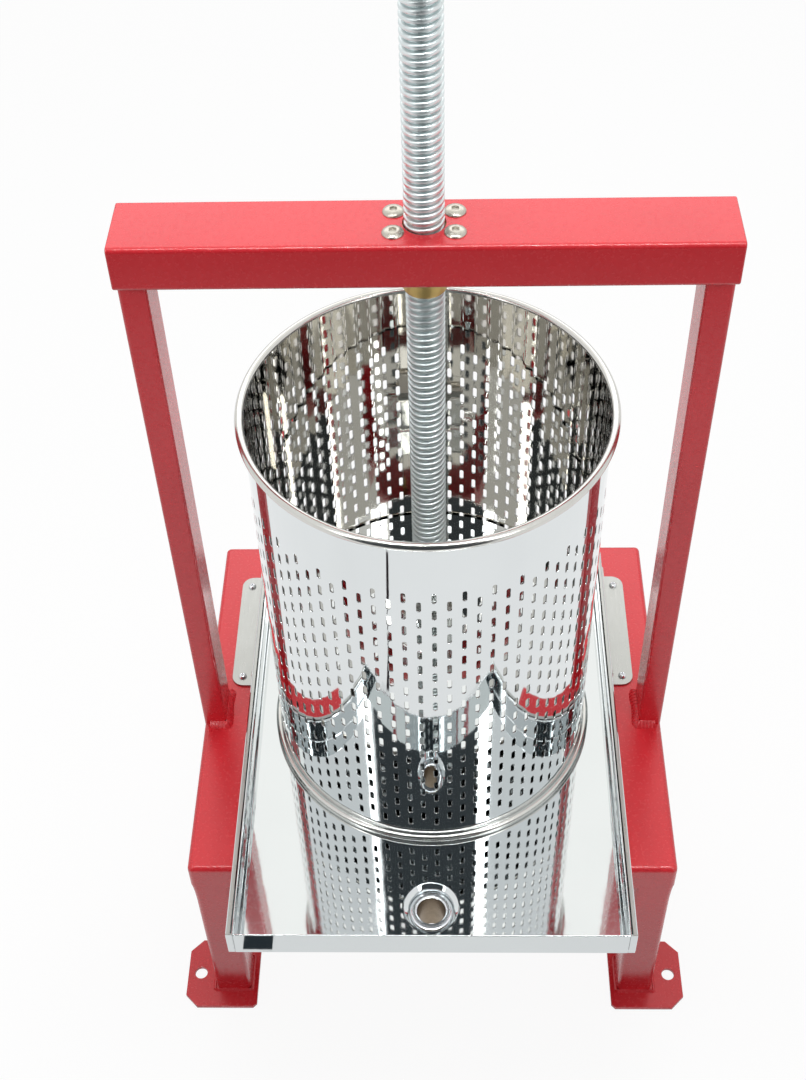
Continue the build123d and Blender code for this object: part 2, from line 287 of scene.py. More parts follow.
# Uprights: two lengths of narrow 15 x 25 mm tube, welded on the rails and under the top beam. Their
# outer faces stand a hair inside the rail's and the beam's, where the weld is ground off.
POST_CORNER = 1.8
POST_LAP = 2.45
POST_INSET = 0.35
for side, s in SIDES.items():
    low, high = mm_box(f"upright_{side}")
    low.z -= POST_LAP
    high.z += POST_LAP
    draw_in(low, high, s, POST_INSET)
    bm = bmesh.new()
    rounded_bar(bm, low, high, 2, POST_CORNER)
    fit(f"stand_upright_{side}", bm, red_powder_coat, "frame", "red_paint", f"upright_{side}")


# Top beam: a length of 40 x 25 mm tube with plates welded over its ends. A hole through its top and
# a wider one through its underside let the screw and the nut's spigot pass.
BEAM_CORNER = 2.4
BEAM_END_ROUND = 0.9
BEAM_WALL = 2.0
SCREW_HOLE_R = 10.7
SPIGOT_HOLE_R = 12.0
RIM_POINTS = 48
SCREW_AXIS = Vector((0.0, -12.5, 0.0))


def drill(bm, upward, radius, depth):
    """Cuts a round hole at the screw's axis through the largest face that looks up or down."""
    face = max(bm.faces, key=lambda f: f.calc_area() * (f.normal.z * upward > 0.9))
    level = face.verts[0].co.z
    ring = [bm.verts.new((SCREW_AXIS.x + radius * math.cos(t),
                          SCREW_AXIS.y + radius * math.sin(t), level)) for t in around(RIM_POINTS)]
    rim = [bm.edges.new(pair) for pair in zip(ring, ring[1:] + ring[:1])]
    border = list(face.edges)
    bmesh.ops.delete(bm, geom=[face], context="FACES_ONLY")
    bmesh.ops.triangle_fill(bm, edges=border + rim, use_beauty=True, normal=(0, 0, upward))
    wall = bmesh.ops.extrude_edge_only(bm, edges=rim)["geom"]
    bmesh.ops.translate(bm, verts=[g for g in wall if isinstance(g, bmesh.types.BMVert)],
                        vec=(0, 0, -upward * depth))


low, high = mm_box("top_beam")
low.x, high.x = mm_box("beam_cap_left")[0].x, mm_box("beam_cap_right")[1].x
bm = bmesh.new()
rounded_bar(bm, low, high, 0, BEAM_CORNER, BEAM_END_ROUND)
bmesh.ops.recalc_face_normals(bm, faces=bm.faces[:])
drill(bm, 1, SCREW_HOLE_R, BEAM_WALL)
drill(bm, -1, SPIGOT_HOLE_R, BEAM_WALL)
fit("stand_beam", bm, red_powder_coat, "frame", "red_paint", "top_beam", "beam_cap_left",
    "beam_cap_right")


# Welds: hand-laid fillets where the tubes meet, coated with the stand. Each pass of the torch left
# a small ripple, so the coat glints along them.
WELD_LEG = 3.0
POST_WELD_LEG = 3.9
BAR_WELD_LEG = 2.4
FOOT_WELD_LEG = 1.7
WELD_SHY = 1.0
WELD_STOP = 4.2
WELD_STEP = 0.8
WELD_ROOT = 0.3
WELD_CROWN = 0.1
WELD_SHARES = (0, 0.25, 0.5, 0.75, 1)
RIPPLE_L, RIPPLE_SHARE = 2.4, 0.07
DRIFT_L, DRIFT_SHARE = 3.7, 0.08


def weld_bead(bm, corners, away, leg):
    """A fillet along a run of corner points; away points along the tube that stands on the base."""
    away = Vector(away)
    runs = [(Vector(a), Vector(b)) for a, b in zip(corners, corners[1:])]
    outs = [(b - a).normalized().cross(away) for a, b in runs]
    stations = []
    for k, (start, stop) in enumerate(runs):
        count = max(2, round((stop - start).length / WELD_STEP))
        stations += [(start.lerp(stop, i / count), outs[k]) for i in range(count + 1)]
        if k + 1 < len(runs):
            stations += [(stop, outs[k].slerp(outs[k + 1], i / 4)) for i in (1, 2, 3)]
    rings = []
    for i, (point, out) in enumerate(stations):
        along = i * WELD_STEP
        ripple = RIPPLE_SHARE * math.sin(math.tau * along / RIPPLE_L)
        drift = DRIFT_SHARE * math.sin(along / DRIFT_L + corners[0][0])
        size = leg * (1 + ripple + drift)
        ring = [bm.verts.new(point - WELD_ROOT * (away + out))]
        for t in WELD_SHARES:
            crown = WELD_CROWN * math.sin(math.pi * t)
            ring.append(bm.verts.new(point + size * ((1 - t + crown) * away + (t + crown) * out)))
        rings.append(ring)
    skin(bm, rings)
    bm.faces.new(rings[0])
    bm.faces.new(rings[-1])


bm = bmesh.new()
for side, s in SIDES.items():
    low, high = mm_box(f"upright_{side}")
    outer, inner = side_faces(low, high, s)
    for level, up, leg in ((low.z, 1, POST_WELD_LEG), (high.z, -1, WELD_LEG)):
        stop = outer - s * WELD_STOP
        path = [(stop, low.y, level), (inner, low.y, level), (inner, high.y, level),
                (stop, high.y, level)]
        weld_bead(bm, path if s * up < 0 else path[::-1], (0, 0, up), leg)
    for end, e in ENDS.items():
        low, high = mm_box(f"leg_{end}_{side}")
        round_leg = [(low.x, low.y), (high.x, low.y), (high.x, high.y), (low.x, high.y),
                     (low.x, low.y)]
        weld_bead(bm, [(x, y, low.z) for x, y in round_leg], (0, 0, 1), FOOT_WELD_LEG)
        outer, inner = side_faces(low, high, s)
        far, near = (low.y, high.y) if e < 0 else (high.y, low.y)
        path = [(outer - s * WELD_STOP, near, high.z), (inner, near, high.z),
                (inner, far - e * WELD_STOP, high.z)]
        weld_bead(bm, path if s * e > 0 else path[::-1], (0, 0, -1), WELD_LEG)
for end in ENDS:
    low, high = mm_box(f"cross_bar_{end}")
    for level, away in ((low.x, 1), (high.x, -1)):
        path = [(level, low.y, high.z - WELD_SHY), (level, low.y, low.z), (level, high.y, low.z),
                (level, high.y, high.z - WELD_SHY)]
        weld_bead(bm, path if away > 0 else path[::-1], (away, 0, 0), BAR_WELD_LEG)
fit("stand_welds", bm, red_powder_coat, "frame", "red_paint")


# Nut: machined from brass. Its oblong block lies inside the beam, held by the bolts on the beam's
# top, and its turned spigot comes out below through the wider hole.
SPIGOT_R = 11.4
SPIGOT_EDGE = 0.9
NUT_BORE_R = 10.15
NUT_BORE_EDGE = 0.8
NUT_CORE_R = 16.0
NUT_SEAT = 0.4
NUT_CORNER = 0.6
CHEEK_IN = 15.0
CHEEK_SEAT = 0.3


def turned(bm, profile, axis=SCREW_AXIS, count=96, along=2):
    """A lathe-turned shape: a closed profile of radius and height turned about an axis."""
    rings = []
    for t in around(count):
        ring = []
        for radius, height in profile:
            across = (radius * math.cos(t), radius * math.sin(t))
            point = (height, *across) if along == 0 else (*across, height)
            ring.append(bm.verts.new(axis + Vector(point)))
        rings.append(ring)
    for i, ring in enumerate(rings):
        for j in range(len(profile)):
            k = (j + 1) % len(profile)
            bm.faces.new((rings[i - 1][j], ring[j], ring[k], rings[i - 1][k]))


# Brass as turned: soft olive gold with tool rings round it, drawn coarser than real ones to show.
turned_brass = make_finish("turned brass", "#D3B878", "#B0955A", 9, (0.28, 0.42), 0.9, 0.012,
                           (0.2, 0.2, 1.0), Metallic=1.0)

low, high = mm_box("screw_nut")
shoulder = mm_box("top_beam")[0].z + BEAM_WALL
bm = bmesh.new()
turned(bm, [(NUT_BORE_R + NUT_BORE_EDGE, low.z), (SPIGOT_R - SPIGOT_EDGE, low.z),
            (SPIGOT_R, low.z + SPIGOT_EDGE), (SPIGOT_R, shoulder + NUT_SEAT),
            (NUT_CORE_R, shoulder + NUT_SEAT), (NUT_CORE_R, high.z - NUT_CORNER),
            (NUT_BORE_R, high.z - NUT_CORNER), (NUT_BORE_R, low.z + NUT_BORE_EDGE)])
for x0, x1 in ((low.x, -CHEEK_IN), (CHEEK_IN, high.x)):
    rounded_bar(bm, Vector((x0, low.y, shoulder + CHEEK_SEAT)), Vector((x1, high.y, high.z)), 1,
                NUT_CORNER)
fit("brass_nut", bm, turned_brass, "frame", "brass", "screw_nut")


# Nut bolts: four stainless button heads with a hexagon socket, screwed through the beam's top into
# the nut. They are bought in, tumbled bright with a warm tint.
NUT_BOLT_AT = (15.0, 8.5)
NUT_BOLT_R = 5.5
NUT_BOLT_H = 2.0
NUT_BOLT_SOCKET = 1.75
NUT_BOLT_RECESS = 0.9
HEAD_DOME = ((1.0, 0.0), (1.0, 0.16), (0.97, 0.34), (0.9, 0.55), (0.78, 0.76), (0.64, 0.91),
             (0.5, 0.99))
RECESS_LIP = ((1.12, 0.0), (1.0, 0.12))
RECESS_TAPER = 0.96
RECESS_PIT = 0.4


def hexagon(angle):
    """A hexagon socket's half width at an angle."""
    return NUT_BOLT_SOCKET / math.cos((angle + math.pi / 6) % (math.pi / 3) - math.pi / 6)


def screw_head(bm, place, radius, height, socket, depth):
    """A domed head on a flat seat. socket gives the recess's half width at each angle."""
    rings = []
    turns = around(RIM_POINTS)
    for share, rise in HEAD_DOME:
        reach = share * radius
        rings.append([(reach * math.cos(t), reach * math.sin(t), rise * height) for t in turns])
    for share, drop in (*RECESS_LIP, (RECESS_TAPER, depth)):
        level = height - drop
        rings.append([(share * socket(t) * math.cos(t), share * socket(t) * math.sin(t), level)
                      for t in turns])
    points = [[bm.verts.new(place + Vector(p)) for p in ring] for ring in rings]
    skin(bm, points)
    bm.faces.new(points[0])
    pit = bm.verts.new(place + Vector((0, 0, height - depth - RECESS_PIT)))
    for i, point in enumerate(points[-1]):
        bm.faces.new((points[-1][i - 1], point, pit))


# Tumbled stainless: bright with a warm cast, slightly soft reflections and a fine peened grain.
tumbled_stainless = make_finish("tumbled stainless steel", "#CFCBC0", "#B8B4A8", 4, (0.24, 0.38),
                                0.5, 0.006, Metallic=1.0)

beam_top = mm_box("top_beam")[1].z
for i, (a, b) in enumerate(((-1, -1), (1, -1), (-1, 1), (1, 1))):
    bm = bmesh.new()
    place = SCREW_AXIS + Vector((a * NUT_BOLT_AT[0], b * NUT_BOLT_AT[1], beam_top))
    screw_head(bm, place, NUT_BOLT_R, NUT_BOLT_H, hexagon, NUT_BOLT_RECESS)
    fit(f"nut_bolt_{i + 1}", bm, tumbled_stainless, "frame", "satin_steel")


# Drip tray: polished 1 mm stainless sheet. The long sides are folded up and over to a doubled edge,
# the front and back walls are let in and welded, and a dish is pressed round the drain.
SHEET = 1.0
FLOOR_BEND = 1.6
FLOOR_END = 0.5
FLOOR_EDGE = 0.02
HEM_W = 5.0
HEM_BEND = 0.9
HEM_SLIT = (1.2, 2.2)
HEM_RETURN = 0.6
HEM_END = 0.6
HEM_CAP_SET = 0.15
HEM_CAP_SIDES = (0.75, 0.1)
HEM_CAP_ENDS = (0.3, 0.2)
HEM_CAP_EDGE = 0.4
WALL_LAP = 0.5
WALL_SHY = 0.3
WALL_EDGE = 0.42
DRAIN_AT = Vector((0.0, -161.0, 0.0))
DISH_R = 17.0
DISH_LIP = 0.8
DISH_FLOOR_R = 13.5
DISH_DROP = 6.0
DRAIN_HOLE_R = 11.0


def folded_sheet(bm, path, ends, start, stop, thick):
    """A strip of sheet bent along a path in x and z. ends is how far each line is cut back."""
    lines = []
    for i, (x, z) in enumerate(path):
        before, after = Vector(path[max(i - 1, 0)]), Vector(path[min(i + 1, len(path) - 1)])
        run = (after - before).normalized()
        normal = Vector((-run.y, run.x)) * thick / 2
        line = []
        for sign in (1, -1):
            for y in (start + ends[i], stop - ends[i]):
                line.append(bm.verts.new((x + sign * normal.x, y, z + sign * normal.y)))
        lines.append(line)
    for first, second in zip(lines, lines[1:]):
        for a, b in ((0, 1), (3, 2), (2, 0), (1, 3)):
            bm.faces.new((first[a], first[b], second[b], second[a]))
    for line in (lines[0], lines[-1]):
        bm.faces.new((line[0], line[1], line[3], line[2]))


def bend(centre, radius, start, stop, count=6):
    """Points of a bend from one angle to another, in degrees."""
    turns = [math.radians(start + (stop - start) * i / count) for i in range(count + 1)]
    return [(centre[0] + radius * math.cos(t), centre[1] + radius * math.sin(t)) for t in turns]


# Polished stainless: a true mirror that is only slightly wavy, because the sheet was rolled and
# folded after polishing.
mirror_stainless = make_finish("mirror polished stainless steel", "#DFE3E4", "#D9DDDE", 60,
                               (0.02, 0.05), 14, 0.012, Metallic=1.0)

# Satin stainless: ground along its length, pale grey with a soft sheen and hardly any reflection.
# The scratches are drawn coarser than real ones to show.
satin_stainless = make_finish("satin ground stainless steel", "#B0B1AE", "#A7A8A4", 25,
                              (0.26, 0.36), 0.8, 0.008, (1.0, 0.06, 1.0), Metallic=1.0)

low, high = mm_box("tray")
floor_top = mm_box("rail_left")[1].z + SHEET
x_in, x_out = high.x - HEM_W, high.x - SHEET / 2
top = high.z - SHEET / 2
bm = bmesh.new()
for s in SIDES.values():
    inside = bend((x_in - FLOOR_BEND, floor_top - SHEET / 2 + FLOOR_BEND), FLOOR_BEND, -90, 0)
    inside += bend((x_in + HEM_BEND, top - HEM_BEND), HEM_BEND, 180, 90)
    inside += [(x_in + HEM_SLIT[0], top)]
    outside = [(x_in + HEM_SLIT[1], top)]
    outside += bend((x_out - HEM_BEND, top - HEM_BEND), HEM_BEND, 90, 0)
    outside += bend((x_out - HEM_BEND, floor_top + HEM_RETURN), HEM_BEND, 0, -90)
    outside += [(x_in + HEM_BEND, floor_top + HEM_RETURN - HEM_BEND)]
    for path in (inside, outside):
        folded_sheet(bm, [(s * x, z) for x, z in path], [0] * len(path), low.y + HEM_END,
                     high.y - HEM_END, SHEET)
    x0, x1 = sorted((s * (x_in + HEM_CAP_SIDES[0]), s * (high.x - HEM_CAP_SIDES[1])))
    for y in (low.y + HEM_CAP_SET, high.y - SHEET - HEM_CAP_SET):
        rounded_bar(bm, Vector((x0, y, floor_top - SHEET + HEM_CAP_ENDS[0])),
                    Vector((x1, y + SHEET, high.z - HEM_CAP_ENDS[1])), 2, HEM_CAP_EDGE)
edge_x, front_y, back_y = x_in - FLOOR_BEND, low.y + FLOOR_END, high.y - FLOOR_END
cut_plate(bm, [(-edge_x, front_y), (edge_x, front_y), (edge_x, back_y), (-edge_x, back_y)],
          [(DRAIN_AT.x, DRAIN_AT.y, DISH_R + DISH_LIP)], floor_top - SHEET, floor_top, FLOOR_EDGE)
for y in (low.y, high.y - SHEET):
    rounded_bar(bm, Vector((-x_in - WALL_LAP, y, floor_top - SHEET)),
                Vector((x_in + WALL_LAP, y + SHEET, high.z - WALL_SHY)), 0, WALL_EDGE)
dish = [(DISH_R + DISH_LIP, 0), (DISH_R - 0.2, 0), (DISH_R - 0.5, -0.08), (DISH_R - 0.8, -0.25),
        (DISH_FLOOR_R + 0.5, -1.9), (DISH_FLOOR_R + 0.2, -2.4), (DISH_FLOOR_R + 0.05, -3.6),
        (DISH_FLOOR_R, -DISH_DROP + 0.4), (DISH_FLOOR_R - 0.4, -DISH_DROP),
        (DRAIN_HOLE_R, -DISH_DROP)]
under = [(r + (0.9 if r > DRAIN_HOLE_R else 0), z - SHEET) for r, z in reversed(dish[1:])]
under += [(DISH_R + DISH_LIP, -SHEET)]
turned(bm, [(r, z + floor_top) for r, z in dish + under], DRAIN_AT)
tray = fit("tray_sheet", bm, mirror_stainless, "frame", "polished_sheet", "tray")

# The folded edge was ground on top, so it is satin there.
tray.data.materials.append(satin_stainless)
for face in tray.data.polygons:
    on_hem = abs(face.center.x) / MM > x_in + HEM_SLIT[1] and face.center.z / MM > top
    face.material_index = int(on_hem and face.normal.z > 0.9)


# Tray brackets: two angles of 1.5 mm satin stainless, spot welded to the tray's sides, with rounded
# corners where they lie on the rails.
BRACKET = 1.5
BRACKET_CORNER = 8.0
BRACKET_CORNER_STEPS = 8
BRACKET_BEND = 1.6
BRACKET_TOP = ((3.0, 0), (1.0, 0.9), (0, 3.0))
for side, s in SIDES.items():
    low, high = mm_box(f"tray_bracket_{side}")
    outer, inner = side_faces(low, high, s)
    rest = low.z + BRACKET / 2
    path, ends = [], []
    for i in range(BRACKET_CORNER_STEPS + 1):
        t = math.radians(90 * i / BRACKET_CORNER_STEPS)
        path.append((outer - s * BRACKET_CORNER * (1 - math.cos(t)), rest))
        ends.append(BRACKET_CORNER * (1 - math.sin(t)))
    wall = inner + s * BRACKET / 2
    knee = bend((BRACKET_BEND, rest + BRACKET_BEND), BRACKET_BEND, 270, 180)
    path += [(wall + s * x, z) for x, z in knee]
    path += [(wall, high.z - drop) for drop, cut in BRACKET_TOP]
    ends += [0] * len(knee) + [cut for drop, cut in BRACKET_TOP]
    bm = bmesh.new()
    folded_sheet(bm, path, ends, low.y, high.y, BRACKET)
    fit(f"tray_angle_{side}", bm, satin_stainless, "frame", "satin_steel", f"tray_bracket_{side}")


# Bracket screws: two pan-head screws with a cross recess in each bracket, driven into the rail.
# They are turned from stainless bar and left bright.
BRACKET_SCREW_X = 129.5
BRACKET_SCREW_Y = (13.9, 95.0)
BRACKET_SCREW_R = 2.7
BRACKET_SCREW_H = 2.0
BRACKET_SCREW_RECESS = 1.2
CROSS_REACH = 1.4
CROSS_W = 0.336


def cross(angle):
    """A cross recess's half width at an angle."""
    turn = (angle + math.pi / 4) % (math.pi / 2) - math.pi / 4
    return min(CROSS_REACH / math.cos(turn), CROSS_W / max(abs(math.sin(turn)), 0.01))


# Turned stainless: bright and cool, with a tool grain that spreads the highlights a little. The
# grain is drawn coarser than the real one to show.
turned_stainless = make_finish("turned stainless steel", "#EDEFF1", "#E0E4E7", 8, (0.18, 0.26), 0.6,
                               0.001, Metallic=1.0)

for side, s in SIDES.items():
    for i, y in enumerate(BRACKET_SCREW_Y):
        bm = bmesh.new()
        seat = mm_box(f"tray_bracket_{side}")[0].z + BRACKET
        screw_head(bm, Vector((s * BRACKET_SCREW_X, y, seat)), BRACKET_SCREW_R, BRACKET_SCREW_H,
                   cross, BRACKET_SCREW_RECESS)
        fit(f"tray_screw_{side}_{i + 1}", bm, turned_stainless, "frame", "satin_steel")


# Drain: a turned stainless pipe with a flange, let through the dish and soldered. A half-inch pipe
# thread below the tray takes a hose tail or a gate.
PIPE_CREST_R = 10.45
PIPE_ROOT_R = 9.35
PIPE_PITCH = 1.814
PIPE_BORE_R = 8.35
PIPE_OUTLINE = ((0.02, -0.2), (0.36, 0.9), (0.46, 1.0), (0.54, 1.0), (0.64, 0.9), (0.98, -0.2))
PIPE_STEPS = 36
PIPE_RUN = (0.5, 6.2)
NECK_R = 10.8
NECK_L = 4.2
FLANGE_R = 13.2
FLANGE_T = 1.8
HAIR = 0.05


def thread(bm, axis, crest, root, lead, low, high, outline, steps, ridge=False):
    """A right-hand thread, one lead's outline wound up the axis and faded out at both ends.

    A ridge is wound round a pipe and leaves its bore open. Otherwise the turns join to a screw.
    """
    count = round((high - low) / lead * steps)
    rows = []
    for i in range(count + 1):
        t = math.tau * i / steps
        fade = min(1, i / steps * 2, (count - i) / steps * 2)
        row = []
        for share, rise in outline:
            radius = root + (crest - root) * rise * (fade if rise > 0 else 1)
            place = Vector((radius * math.cos(t), radius * math.sin(t),
                            low + (i / steps + share) * lead))
            row.append(bm.verts.new(axis + place))
        rows.append(row)
    for i in range(count):
        for j in range(len(outline) - (0 if ridge else 1)):
            k = (j + 1) % len(outline)
            bm.faces.new((rows[i][j], rows[i + 1][j], rows[i + 1][k], rows[i][k]))
        if i + steps < count and not ridge:
            bm.faces.new((rows[i][-1], rows[i + 1][-1], rows[i + 1 + steps][0], rows[i + steps][0]))
    bm.faces.new(rows[0] if ridge else [row[0] for row in rows[:steps + 1]] + rows[0][:0:-1])
    bm.faces.new(rows[-1] if ridge else [row[-1] for row in rows[-steps - 1:]] + rows[-1][:-1])


# The bore as drilled: dull, because it was never polished. Its brownish dark colour is painted
# shade and painted reflection of the shaded space under the tray.
bore_painted_shade = make_finish("drilled bore with painted shade", "#948571", "#786A57", 5, (0.26, 0.36), 0.9, 0.002,
                       Metallic=1.0)

low, high = mm_box("drain_spout")
flange = high.z - FLANGE_T
bm = bmesh.new()
turned(bm, [(PIPE_BORE_R, low.z + 0.6), (PIPE_BORE_R + 0.5, low.z), (PIPE_ROOT_R - 0.2, low.z),
            (PIPE_ROOT_R, low.z + 0.4), (PIPE_ROOT_R, flange - NECK_L - 0.4),
            (NECK_R, flange - NECK_L), (NECK_R, flange), (FLANGE_R, flange),
            (FLANGE_R, flange + 0.7), (FLANGE_R - 0.5, flange + 1.2),
            (FLANGE_R - 1.6, flange + 1.4), (FLANGE_R - 1.9, flange + 1.75),
            (PIPE_BORE_R + 1.4, flange + FLANGE_T), (PIPE_BORE_R + 0.5, flange + 1.5),
            (PIPE_BORE_R, flange + 0.7)], DRAIN_AT)
thread(bm, DRAIN_AT, PIPE_CREST_R, PIPE_ROOT_R - HAIR, PIPE_PITCH, low.z + PIPE_RUN[0],
       flange - PIPE_RUN[1], PIPE_OUTLINE, PIPE_STEPS, ridge=True)
drain = fit("drain_pipe", bm, turned_stainless, "frame", "satin_steel", "drain_spout")
drain.data.materials.append(bore_painted_shade)
# The faces inside the bore take the brownish painted shade.
for face in drain.data.polygons:
    reach = max((drain.data.vertices[i].co / MM - DRAIN_AT).xy.length for i in face.vertices)
    face.material_index = int(reach < PIPE_BORE_R + HAIR)


# Basket wall: polished 1 mm stainless, punched with staggered upright slots, rolled round and seam
# welded. It has no floor and stands loose on the tray.
BASKET_R = 100.0
BASKET_IN = BASKET_R - SHEET
WALL_IN_BEAD = (1.2, 2.4)
COLUMNS = 78
FIRST_COLUMN = math.radians(-90 + 2.0)
SLOT_W, SLOT_L, SLOT_CORNER = 2.4, 7.5, 1.0
SLOT_PITCH = 13.3
SLOT_FIRST = 18.9
LONG_COLUMN = 17
PUNCH_ROLL = 0.22
STRIP_CURVE = 0.55
base_z = mm_box("rail_left")[1].z
wall_low, wall_high = mm_box("basket_wall")
column_step = math.tau / COLUMNS
half_step = column_step / 2 * BASKET_R
half_pitch = SLOT_PITCH / 2
edge_u = SLOT_W / 2 + PUNCH_ROLL


def slot_outline(grow):
    """The punched slot's outline about its centre, from the upper right corner round."""
    points = []
    for k, (a, b) in enumerate(QUADRANTS):
        for i in range(3):
            t = math.radians(90 * k + 45 * i)
            radius = SLOT_CORNER + grow
            points.append((a * (SLOT_W / 2 - SLOT_CORNER) + radius * math.cos(t),
                           b * (SLOT_L / 2 - SLOT_CORNER) + radius * math.sin(t)))
    return points


def spot(bm, angle, radius, u, v):
    """A point of the rolled sheet, u round from a column's middle line and v up."""
    t = angle + u / BASKET_R
    return bm.verts.new(SCREW_AXIS + Vector((radius * math.cos(t), radius * math.sin(t), v)))


# Mill finish stainless: the sheet's inner face as it came from the rolls, a mirror. Its warm and
# slightly duller tone is painted reflection of the dim, warm inside of the basket.
mill_finish_painted_reflection = make_finish("bright mill finish stainless steel", "#D9D6D0", "#CFCCC5", 45,
                             (0.018, 0.04), 14, 0.015, Metallic=1.0)

# Sheared edges of the slots: torn by the punch, dull and dark, so each slot has a dark outline.
sheared_edge = make_finish("punch sheared edge", "#7D7B78", "#64625F", 3, (0.4, 0.55), 0.8, 0.004,
                           Metallic=1.0)

bm = bmesh.new()
strips = ((-half_step, -edge_u), (-edge_u, edge_u), (edge_u, half_step))
bottom = base_z + SLOT_FIRST - half_pitch
top = bottom + LONG_COLUMN * SLOT_PITCH
for column in range(COLUMNS):
    angle = FIRST_COLUMN + column * column_step
    long = column % 2 == 0
    first = base_z + SLOT_FIRST + (0 if long else half_pitch)
    centres = [first + i * SLOT_PITCH for i in range(LONG_COLUMN if long else LONG_COLUMN - 1)]
    bands = [(wall_low.z + WALL_IN_BEAD[0], bottom), (top, wall_high.z - WALL_IN_BEAD[1])]
    if not long:
        bands += [(bottom, bottom + half_pitch), (top - half_pitch, top)]
    for radius, order in ((BASKET_R, 1), (BASKET_IN, -1)):
        for z0, z1 in bands:
            for u0, u1 in strips:
                corners = ((u0, z0), (u1, z0), (u1, z1), (u0, z1))
                bm.faces.new([spot(bm, angle, radius, u, v) for u, v in corners][::order])
        for z in centres:
            hole = [(u, z + v) for u, v in slot_outline(PUNCH_ROLL)]
            z0, z1 = z - half_pitch, z + half_pitch
            right = [(edge_u, z0), (half_step, z0), (half_step, z), (half_step, z1), (edge_u, z1),
                     hole[0], hole[11]]
            left = [(-edge_u, z1), (-half_step, z1), (-half_step, z), (-half_step, z0),
                    (-edge_u, z0), hole[6], hole[5]]
            over = [hole[0], (edge_u, z1), (-edge_u, z1), *hole[5:0:-1]]
            below = [hole[6], (-edge_u, z0), (edge_u, z0), *hole[11:6:-1]]
            for ring in (right, left, over, below):
                bm.faces.new([spot(bm, angle, radius, u, v) for u, v in ring][::order])
    for z in centres:
        loops = []
        for radius, grow in ((BASKET_R, PUNCH_ROLL), (BASKET_R - PUNCH_ROLL, 0),
                             (BASKET_IN + PUNCH_ROLL, 0), (BASKET_IN, PUNCH_ROLL)):
            loops.append([spot(bm, angle, radius, u, z + v) for u, v in slot_outline(grow)])
        skin(bm, loops)
    for z, order in ((bands[0][0], -1), (bands[1][1], 1)):
        for u0, u1 in strips:
            corners = ((BASKET_R, u0), (BASKET_R, u1), (BASKET_IN, u1), (BASKET_IN, u0))
            bm.faces.new([spot(bm, angle, radius, u, z) for radius, u in corners][::order])
bmesh.ops.remove_doubles(bm, verts=bm.verts[:], dist=0.002)
basket = fit("basket_sheet", bm, mirror_stainless, "basket", "polished_sheet", "basket_wall")
basket.data.materials.append(mill_finish_painted_reflection)
basket.data.materials.append(sheared_edge)

# The sheet bends most along its columns of slots, so the strips between them are flatter and break
# the reflections into upright bands. The punched edges roll in.
basket.modifiers.clear()
sheet = basket.data
normals = [None] * len(sheet.loops)
for face in sheet.polygons:
    reach = [(sheet.vertices[i].co / MM - SCREW_AXIS).xy.length for i in face.vertices]
    # Slot walls take the sheared edge, and the inner face takes the mill finish with its painted
    # warm reflection.
    if BASKET_IN + HAIR < min(reach) and max(reach) < BASKET_R - HAIR:
        face.material_index = 2
    else:
        face.material_index = int(max(reach) < BASKET_IN + HAIR)
    for index in face.loop_indices:
        point = sheet.vertices[sheet.loops[index].vertex_index].co / MM - SCREW_AXIS
        turn = math.atan2(point.y, point.x)
        column = FIRST_COLUMN + round((turn - FIRST_COLUMN) / column_step) * column_step
        u = (turn - column) * BASKET_R
        bent = column + math.copysign(half_step - STRIP_CURVE * (half_step - abs(u)), u) / BASKET_R
        out = Vector((math.cos(turn), math.sin(turn), 0))
        facing = face.normal.dot(out)
        radius = math.hypot(point.x, point.y)
        on_skin = abs(radius - BASKET_R) < HAIR or abs(radius - BASKET_IN) < HAIR
        if abs(face.normal.z) > 0.99 and on_skin:
            normals[index] = face.normal.copy()
        elif abs(facing) > 0.9 or (abs(facing) > 0.3 and on_skin):
            normals[index] = Vector((math.cos(bent), math.sin(bent), 0)) * math.copysign(1, facing)
        else:
            normals[index] = (face.normal - facing * out).normalized()
sheet.normals_split_custom_set(normals)


# Basket beads: the sheet's top and bottom edges are rolled outwards over a wire. The free edge
# tucks in against the wall, which leaves a fine groove under the roll.
ROLL_R = 2.5
ROLL_AT = 101.5
ROLL_GROOVE = 0.45
GROOVE_AT, GROOVE_HALF = math.radians(225), math.radians(8)
ROLL_POINTS, ROLL_TURNS = 40, 192

# Rolled stainless edge: the polish is dulled by the rolling tool, so its reflections are drawn out.
rolled_stainless = make_finish("tool rolled stainless edge", "#DAD9D5", "#CDCCC7", 12, (0.16, 0.24),
                               1.2, 0.003, (1.0, 1.0, 3.0), Metallic=1.0)

for name, node, up in (("basket_rim_roll", "basket_rim_bead", 1),
                       ("basket_foot_roll", "basket_foot_bead", -1)):
    low, high = mm_box(node)
    level = high.z - ROLL_R if up > 0 else low.z + ROLL_R
    profile = []
    for t in around(ROLL_POINTS):
        radius = ROLL_R - (ROLL_GROOVE if abs(t - GROOVE_AT) < GROOVE_HALF else 0)
        profile.append((ROLL_AT + radius * math.cos(t), level + up * radius * math.sin(t)))
    bm = bmesh.new()
    turned(bm, profile, count=ROLL_TURNS)
    fit(name, bm, rolled_stainless, "basket", "polished_sheet", node)


# Press plate: a polished stainless disc that follows the basket's bore with a small gap. A turned
# cup is welded on its middle and takes the foot of the screw.
PLATE_T = 6.0
PLATE_ROUND = 0.8
PLATE_EASE = 0.35
PLATE_FIT = 1.9
CUP_R = 20.0
CUP_BORE_R = 10.4
CUP_FLOOR = 6.0
CUP_EDGE = 1.0
CUP_BORE_EDGE = 0.6

# A turned shape that closes on its axis stops a hair beside it, so that no face shrinks to nothing.
AXIS_R = 0.02

